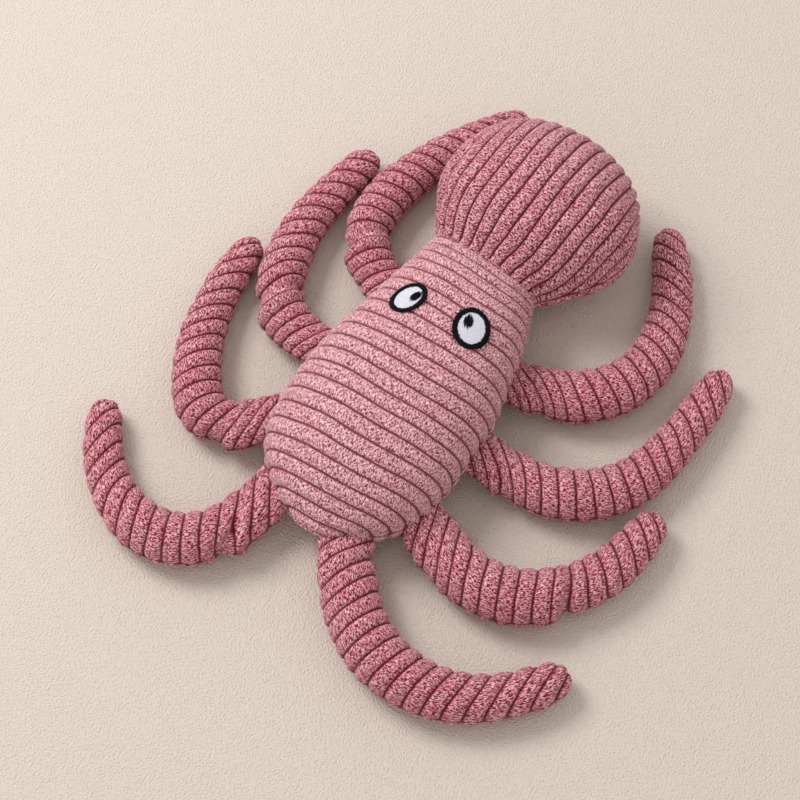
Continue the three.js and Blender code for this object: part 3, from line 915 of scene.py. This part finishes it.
def torso_form(scene):
    """The torso's smooth form, with the values that its cloth follows"""
    sizes, cloth = scene.octopus_torso, scene.octopus_corduroy
    table = form_table(TORSO_FORM, sizes, sizes.seam_height, sizes.neck_seam_height)
    rows, surface = smooth_rows(table, cloth.fine_step, True, False)
    path = leaned(torso_path(sizes)(rows[:, PLACE]), rows[:, LEAN])
    girth = math.pi * sizes.width / 2
    count = int(girth / (TORSO_SPACING_SHARE * cloth.long_step))
    points, left, edge, around = form_grid(path, rows, count, sizes.fullness)
    squeezed = np.concatenate([[0], np.cumsum(np.diff(surface) * (1 + rows[1:, SQUEEZE]))])
    rightward = np.clip(-left / np.maximum(rows[:, [HALF_WIDTH]], cloth.fine_step), 0, 1)
    gathered = GATHERED_WALES * cloth.wale_pitch
    bow = sizes.wale_bow * rightward**2 * np.minimum(surface[:, None] / gathered, 1)
    wale = squeezed[:, None] + math.sin(sizes.wale_slant) * left - bow
    from_neck = (surface[-1] - surface)[:, None]
    gather = 1 + TORSO_GATHER_SHARE * np.clip(1 - edge / gathered, 0, 1)
    edge = np.minimum(edge, NECK_EDGE_SHARE * from_neck)
    return points, cloth_values(wale, around, edge, gather)


def head_form(scene):
    """The head's smooth form: its wales run from the gathered neck to the crown"""
    torso, sizes, cloth = scene.octopus_torso, scene.octopus_head, scene.octopus_corduroy
    table = form_table(HEAD_FORM, sizes, torso.neck_seam_height, sizes.seam_height)
    rows, surface = smooth_rows(with_inset(table, sizes.neck_inset), cloth.long_step, False, True)
    neck = torso_path(torso)(np.array([torso.length]))[0]
    straight = walk(lambda at: torso.neck_heading, sizes.length, neck[:2], sizes.neck_inset)
    path = leaned(straight(rows[:, PLACE]), rows[:, LEAN])
    girth = math.pi * sizes.width / 2
    count = int(girth / (HEAD_SPACING_SHARE * cloth.fine_step))
    points, left, edge, around = form_grid(path, rows, count, sizes.fullness)
    spread = (1 - sizes.wrap) * left + sizes.wrap * around
    squeeze = rows[:, [SQUEEZE]]
    wale = spread * (1 + squeeze) + cloth.wale_pitch / 2
    near_seam = np.clip(1 - edge / (GATHERED_WALES * cloth.wale_pitch), 0, 1)
    gather = 1 + NECK_GATHER_SHARE * squeeze + HEAD_GATHER_SHARE * near_seam
    return points, cloth_values(wale, np.broadcast_to(surface[:, None], left.shape), edge, gather)


def cloth_values(wale, along, edge, gather):
    """What the cloth follows at each point: the distances across and along its wales and from its
    seams, how deep its grooves are gathered, and how far its pile is pressed down"""
    return {"wale": wale, "along": along, "edge": edge, "gather": gather, "pressed": np.zeros_like(wale)}


def arm_table(scene, arm):
    """An arm's sizes at its stations, from inside the torso to the tip"""
    sizes = scene.octopus_arms
    rest = arm["length_share"] * sizes.length - sizes.root_run
    root_stations = np.array(ARM_ROOT_FORM["station_shares"]) * sizes.root_run
    stations = np.concatenate([root_stations, sizes.root_run + np.array(ARM_FORM["station_shares"]) * rest])
    widths = np.array(ARM_ROOT_FORM["width_shares"] + ARM_FORM["size_shares"])
    heights = np.array(ARM_ROOT_FORM["height_shares"] + ARM_FORM["size_shares"])
    levels = np.array(ARM_ROOT_FORM["height_shares"] + ARM_FORM["level_shares"])
    girth = arm["girth_share"]
    run = np.minimum(stations / sizes.root_run, 1)
    seam = levels * girth * sizes.height / 2 + sizes.root_lift * (1 - run) ** 2
    half_height = heights * girth * sizes.height / 2
    table = np.column_stack([stations, widths * girth * sizes.width / 2, half_height, half_height, seam])
    return with_inset(table, sizes.root_inset)


def arm_form(scene, arm):
    """An arm's smooth form: its wales keep their own headings as the arm curls"""
    sizes, torso, cloth = scene.octopus_arms, scene.octopus_torso, scene.octopus_corduroy
    length = arm["length_share"] * sizes.length
    rows, surface = smooth_rows(arm_table(scene, arm), cloth.fine_step, False, True)
    headings = np.radians(arm["headings"])
    middles = (np.arange(len(headings)) + 0.5) / len(headings) * length
    wales = np.radians(arm["wale_headings"])
    root = np.array(arm["root_shares"]) * (torso.width / 2, torso.lower_length)
    place = rows[:, PLACE]
    path = walk(lambda at: np.interp(at, middles, headings), length, root, sizes.root_inset)(place)
    count = int(math.pi * sizes.width / 2 / cloth.long_step)
    points, left, edge, around = form_grid(path, rows, count)
    slant = turned(np.interp(place, middles, wales), path[:, HEADING])
    closer = 1 + arm["gather_share"] * np.clip(1 - place / sizes.root_run, 0, 1)
    advance = np.concatenate([[0], np.cumsum(np.diff(surface) * (np.cos(slant) * closer)[1:])])
    wale = advance[:, None] + (np.sin(slant) * closer)[:, None] * left
    middle = np.column_stack([path[:, :HEADING], rows[:, SEAM]])[:, None, :]
    for share, turn, depth, side in arm["creases"]:
        at = share * length
        line = np.interp(at, middles, wales) + math.radians(turn)
        shape = crease_shape(path, rows, left, at, line, sizes.crease_width)
        kept = 1 - depth * crease_side(rows, left, side) * shape
        points = middle + (points - middle) * kept[..., None]
    gather = 1 - ARM_EASE_SHARE * np.clip(1 - edge / cloth.wale_pitch, 0, 1)
    return points, cloth_values(wale, around, ARM_EDGE_SHARE * edge, gather)


def turned(line, heading):
    """How far a line in plan is turned from straight across a form, within a quarter turn each way"""
    return (line - heading) % math.pi - math.pi / 2


def crease_shape(path, rows, left, at, line, width):
    """How deep a crease is, from 1 at its middle: the cloth swells before it, and is slow to fill
    out again after it"""
    row = np.argmin(np.abs(rows[:, PLACE] - at))
    slant = turned(line, path[row, HEADING])
    away = (rows[:, [PLACE]] - at + math.tan(slant) * left) / width
    notch = np.exp(-away**2)
    tail = np.where(away > 0, np.exp(-np.abs(away) / CREASE_TAIL_REACH_SHARE) - notch, 0)
    swelling = np.exp(-((away + SWELLING_PLACE_SHARE) / SWELLING_REACH_SHARE) ** 2)
    return notch + CREASE_TAIL_SHARE * tail - SWELLING_SHARE * swelling


def crease_side(rows, left, side):
    """How strong a crease is across an arm, where it is deepest at one side"""
    half = np.maximum(rows[:, [HALF_WIDTH]], TINY)
    return np.clip(CREASE_MIDDLE_SHARE + CREASE_SIDE_SHARE * side * left / half, 0, 1)


def dress(scene, name, form, seed, material):
    """A stuffed form in its corduroy cover"""
    points, attributes = form
    piece = add_object(name, grid_mesh(name, points, attributes))
    tree = bpy.data.node_groups.get("Corduroy Wales") or corduroy_tree()
    cloth = scene.octopus_corduroy
    sizes = {label: getattr(cloth, label.lower().replace(" ", "_")) for label in WALE_INPUTS}
    apply_tree(piece, tree, {**sizes, "Seed": seed, "Material": material})
    rest_on_ground(piece)
    return piece


class OCTOPUS_OT_torso(bpy.types.Operator):
    """Make the torso's cover with its crosswise wales"""
    bl_idname = "octopus.torso"
    bl_label = "Torso"

    def execute(self, context):
        scene = context.scene
        cloth = scene.octopus_corduroy
        material = corduroy_material("torso corduroy", cloth.torso_colour, cloth)
        points, attributes = torso_form(scene)
        points = stuffed(scene, points, scene.octopus_torso.swell)
        attributes["pressed"] = pressed_by_eyes(scene, points)
        grid_mesh(TORSO_SURFACE, points[::TORSO_SURFACE_THINNING, ::TORSO_SURFACE_THINNING], {})
        piece = dress(scene, "torso_cover", (points, attributes), TORSO_SEED, material)
        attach(piece, "torso")
        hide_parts("torso_front_panel", "torso_back_panel", "torso_filling")
        return {"FINISHED"}


class OCTOPUS_OT_head(bpy.types.Operator):
    """Make the head's cover with its lengthwise wales, gathered at the neck"""
    bl_idname = "octopus.head"
    bl_label = "Head"

    def execute(self, context):
        scene = context.scene
        cloth = scene.octopus_corduroy
        material = corduroy_material("head corduroy", cloth.head_colour, cloth)
        points, attributes = head_form(scene)
        points = stuffed(scene, points, scene.octopus_head.swell)
        piece = dress(scene, "head_cover", (points, attributes), HEAD_SEED, material)
        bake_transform(piece)
        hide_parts("head_front_panel", "head_back_panel", "head_filling")
        return {"FINISHED"}


class OCTOPUS_OT_arms(bpy.types.Operator):
    """Make the eight arms' covers with their crosswise wales"""
    bl_idname = "octopus.arms"
    bl_label = "Arms"

    def execute(self, context):
        scene = context.scene
        cloth = scene.octopus_corduroy
        material = corduroy_material("arm corduroy", cloth.arm_colour, cloth)
        for seed, (name, arm) in enumerate(ARMS.items(), start=FIRST_ARM_SEED):
            points, attributes = arm_form(scene, arm)
            points = stuffed(scene, points, scene.octopus_arms.swell)
            piece = dress(scene, f"{name}_cover", (points, attributes), float(seed), material)
            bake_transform(piece)
            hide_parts(f"{name}_upper_panel", f"{name}_lower_panel", f"{name}_filling")
        return {"FINISHED"}


# Eyes

def eye_frame(side, sizes):
    """An eye's middle, its half sizes and its turn in plan"""
    low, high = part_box(f"eye_{side}_outline")
    turn = math.radians(EYES[side]["turn"])
    half = [share * size / 2 for share, size in zip(EYES[side]["size_shares"], (sizes.length, sizes.width))]
    return (low + high) / 2, half, turn


def in_plan(middle, turn, u, v):
    """A place given along and across a turned frame, in plan"""
    x = middle.x + u * math.cos(turn) - v * math.sin(turn)
    y = middle.y + u * math.sin(turn) + v * math.cos(turn)
    return x, y


def pressed_by_eyes(scene, points):
    """How far the pile is pressed down under the eyes, from 0 to 1"""
    pressed = np.zeros(points.shape[:2])
    for side in EYES:
        middle, half, turn = eye_frame(side, scene.octopus_eyes)
        across, up = points[..., X] - middle.x, points[..., Y] - middle.y
        u = (across * math.cos(turn) + up * math.sin(turn)) / half[0]
        v = (up * math.cos(turn) - across * math.sin(turn)) / half[1]
        inside = np.clip((PRESSED_REACH_SHARE - np.hypot(u, v)) / PRESSED_FADE_SHARE, 0, 1)
        pressed = np.maximum(pressed, inside * (points[..., Z] > scene.octopus_torso.seam_height))
    return pressed


def torso_surface():
    """A reader of the torso's smooth front: the place and the way up at x, y"""
    mesh = bpy.data.meshes[TORSO_SURFACE]
    tree = BVHTree.FromPolygons([v.co for v in mesh.vertices], [p.vertices for p in mesh.polygons])
    bpy.data.meshes.remove(mesh)
    above = Vector((0, 0, 1))

    def read(x, y):
        place, normal, _, _ = tree.ray_cast(Vector((x, y, 0)) + above, -above)
        return place, normal
    return read


def stitch_points(name, read, stitches, rise):
    """Points for stitches, each given by its middle in plan, its direction in plan and its length"""
    mesh = bpy.data.meshes.new(name)
    places, alongs, ups, reaches = [], [], [], []
    for x, y, angle, reach in stitches:
        place, normal = read(x, y)
        along = Vector((math.cos(angle), math.sin(angle), 0))
        along = (along - normal * along.dot(normal)).normalized()
        places.append(place + normal * rise)
        alongs.append(along)
        ups.append(normal)
        reaches.append(reach)
    mesh.from_pydata(places, [], [])
    mesh.attributes.new("along", "FLOAT_VECTOR", "POINT").data.foreach_set("vector", np.ravel(alongs))
    mesh.attributes.new("upward", "FLOAT_VECTOR", "POINT").data.foreach_set("vector", np.ravel(ups))
    mesh.attributes.new("reach", "FLOAT", "POINT").data.foreach_set("value", reaches)
    return mesh


def fill_stitches(middle, half, turn, step, length, generator):
    """Rows of stitches that fill a turned ellipse, laid like bricks"""
    stitches = []
    count = int(2 * half[1] / step)
    for row in range(count):
        v = -half[1] + (row + 0.5) * 2 * half[1] / count
        reach = half[0] * math.sqrt(max(1 - (v / half[1]) ** 2, 0))
        start = -reach - length * (BRICK_SHARE * row % 1)
        while start < reach:
            low, high = max(start, -reach), min(start + length, reach)
            start += length
            if high - low > step:
                x, y = in_plan(middle, turn, (low + high) / 2, v)
                angle = turn + generator.normal(0, FILL_WAVER)
                stitches.append((x, y, angle, (high - low) * OVERLAP_SHARE))
    return stitches


def ring_stitches(middle, half, turn, width, step, generator):
    """Stitches across an outline, all round it, a few of them longer than the rest"""
    stitches = []
    inner = [reach - width / 2 for reach in half]
    count = int(math.pi * sum(inner) / step)
    for i in range(count):
        angle = 2 * math.pi * i / count
        away = math.atan2(math.sin(angle) / inner[1], math.cos(angle) / inner[0])
        shift = generator.normal(0, RING_SHIFT_SHARE) * width
        reach = width * (RING_LENGTH_SHARE + abs(generator.normal(0, RING_LENGTH_WAVER_SHARE)))
        if generator.random() < STRAY_STITCH_SHARE:
            shift += width * STRAY_SHIFT_SHARE
            reach += width * STRAY_LENGTH_SHARE
        u = inner[0] * math.cos(angle) + shift * math.cos(away)
        v = inner[1] * math.sin(angle) + shift * math.sin(away)
        x, y = in_plan(middle, turn, u, v)
        stitches.append((x, y, turn + away + generator.normal(0, RING_WAVER), reach))
    return stitches


def pupil_stitches(side, sizes, generator):
    """The pupil's solid stitches, with a tick of thread from it towards the outline"""
    low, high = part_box(f"eye_{side}_pupil")
    middle = (low + high) / 2
    eye = EYES[side]
    pupil = (sizes.pupil_length, sizes.pupil_width)
    half = [share * size / 2 for share, size in zip(eye["size_shares"], pupil)]
    tick = math.radians(eye["tick"])
    length = eye["tick_share"] * sizes.tick_length
    stitches = fill_stitches(middle, half, math.radians(eye["turn"]), sizes.thread_step, pupil[0], generator)
    x, y = in_plan(middle, tick, half[0] + length * TICK_OUT_SHARE, 0)
    stitches.append((x, y, tick, length))
    return stitches


class OCTOPUS_OT_eyes(bpy.types.Operator):
    """Make the two stitched eyes on the front of the torso"""
    bl_idname = "octopus.eyes"
    bl_label = "Eyes"

    def execute(self, context):
        scene = context.scene
        sizes, cloth = scene.octopus_eyes, scene.octopus_corduroy
        white = thread_material("white thread", sizes.white_colour, 0.6)
        black = thread_material("black thread", sizes.black_colour, 0.7)
        read = torso_surface()
        tree = stitch_tree()
        rise = sizes.pad_height - cloth.press_depth
        step, length = sizes.thread_step, sizes.stitch_length
        for seed, side in enumerate(EYES, start=FIRST_EYE_SEED):
            generator = np.random.default_rng(seed)
            middle, half, turn = eye_frame(side, sizes)
            outline = EYES[side]["outline_share"] * sizes.outline_width
            inner = [reach - outline * WHITE_INSET_SHARE for reach in half]
            ring = ring_stitches(middle, half, turn, outline, step * RING_STEP_SHARE, generator)
            parts = {
                "white": (fill_stitches(middle, inner, turn, step, length, generator), white, rise),
                "outline": (ring, black, rise + sizes.thread_width),
                "pupil": (pupil_stitches(side, sizes, generator), black, rise + sizes.thread_width),
            }
            for part, (stitches, material, height) in parts.items():
                name = f"eye_{side}_{part}_stitching"
                piece = add_object(name, stitch_points(name, read, stitches, height))
                apply_tree(piece, tree, {"Thread Width": sizes.thread_width, "Material": material})
                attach(piece, "torso")
                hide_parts(f"eye_{side}_{part}")
        return {"FINISHED"}


# Stage

def aim(thing, place, target):
    """Puts a lamp or a camera at a place, looking at its target"""
    thing.location = place
    thing.rotation_euler = (Vector(target) - Vector(place)).to_track_quat("-Z", "Y").to_euler()


def add_lamp(name, power, size, place, target):
    """A square lamp at a place, aimed at its target"""
    lamp = bpy.data.lights.new(name, "AREA")
    lamp.energy = power
    lamp.size = size
    lamp_object = add_object(name, lamp)
    aim(lamp_object, place, target)


class OCTOPUS_OT_stage(bpy.types.Operator):
    """Set up the floor, the light and the camera"""
    bl_idname = "octopus.stage"
    bl_label = "Stage"

    def execute(self, context):
        scene = context.scene
        stage = scene.octopus_stage
        half = stage.floor_size / 2
        mesh = bpy.data.meshes.new("floor")
        corners = [(-half, -half, 0), (half, -half, 0), (half, half, 0), (-half, half, 0)]
        mesh.from_pydata(corners, [], [(0, 1, 2, 3)])
        mesh.materials.append(floor_material(stage))
        floor = add_object("floor", mesh)

        azimuth, elevation = stage.camera_azimuth, stage.camera_elevation
        target = Vector(stage.target)
        level = Vector((math.sin(azimuth), -math.cos(azimuth), 0)) * math.cos(elevation)
        back = level + Vector((0, 0, math.sin(elevation)))
        right = Vector((math.cos(azimuth), math.sin(azimuth), 0))
        camera = bpy.data.cameras.new("camera")
        camera.angle = stage.field_of_view
        camera_object = add_object("camera", camera)
        aim(camera_object, target + back * stage.camera_distance, target)
        scene.camera = camera_object

        away = Vector((-math.sin(azimuth), math.cos(azimuth), 0))
        over = Vector((0, 0, stage.key_height))
        key_place = target + away * stage.key_behind - right * stage.key_left + over
        add_lamp("key lamp", stage.key_power, stage.key_size, key_place, target)

        world = bpy.data.worlds.new("studio")
        world.use_nodes = True
        backdrop = world.node_tree.nodes["Background"]
        backdrop.inputs["Color"].default_value = (1, 1, 1, 1)
        backdrop.inputs["Strength"].default_value = stage.world_strength
        scene.world = world
        scene.view_settings.view_transform = "Standard"
        return {"FINISHED"}


class OCTOPUS_PT_panel(bpy.types.Panel):
    """The octopus's pieces and sizes"""
    bl_label = "Corduroy Octopus"
    bl_idname = "OCTOPUS_PT_panel"
    bl_space_type = "VIEW_3D"
    bl_region_type = "UI"
    bl_category = "Octopus"

    def draw(self, context):
        for label, kind in GROUPS.items():
            self.layout.label(text=label.replace("octopus_", "").title())
            for size in kind.__annotations__:
                self.layout.prop(getattr(context.scene, label), size)
        for operator in OPERATORS:
            self.layout.operator(operator.bl_idname)


GROUPS = {
    "octopus_torso": OctopusTorsoSizes,
    "octopus_head": OctopusHeadSizes,
    "octopus_arms": OctopusArmSizes,
    "octopus_corduroy": OctopusCorduroy,
    "octopus_eyes": OctopusEyeSizes,
    "octopus_stage": OctopusStage,
}
OPERATORS = (OCTOPUS_OT_stage, OCTOPUS_OT_torso, OCTOPUS_OT_head, OCTOPUS_OT_arms, OCTOPUS_OT_eyes)


def register():
    for kind in (*GROUPS.values(), *OPERATORS, OCTOPUS_PT_panel):
        bpy.utils.register_class(kind)
    for label, kind in GROUPS.items():
        setattr(bpy.types.Scene, label, PointerProperty(type=kind))


def unregister():
    for label in GROUPS:
        delattr(bpy.types.Scene, label)
    for kind in (OCTOPUS_PT_panel, *OPERATORS, *GROUPS.values()):
        bpy.utils.unregister_class(kind)


def main():
    """Makes the scene"""
    register()
    bpy.ops.octopus.stage()
    bpy.ops.octopus.torso()
    bpy.ops.octopus.head()
    bpy.ops.octopus.arms()
    bpy.ops.octopus.eyes()


if __name__ == "__main__":
    main()
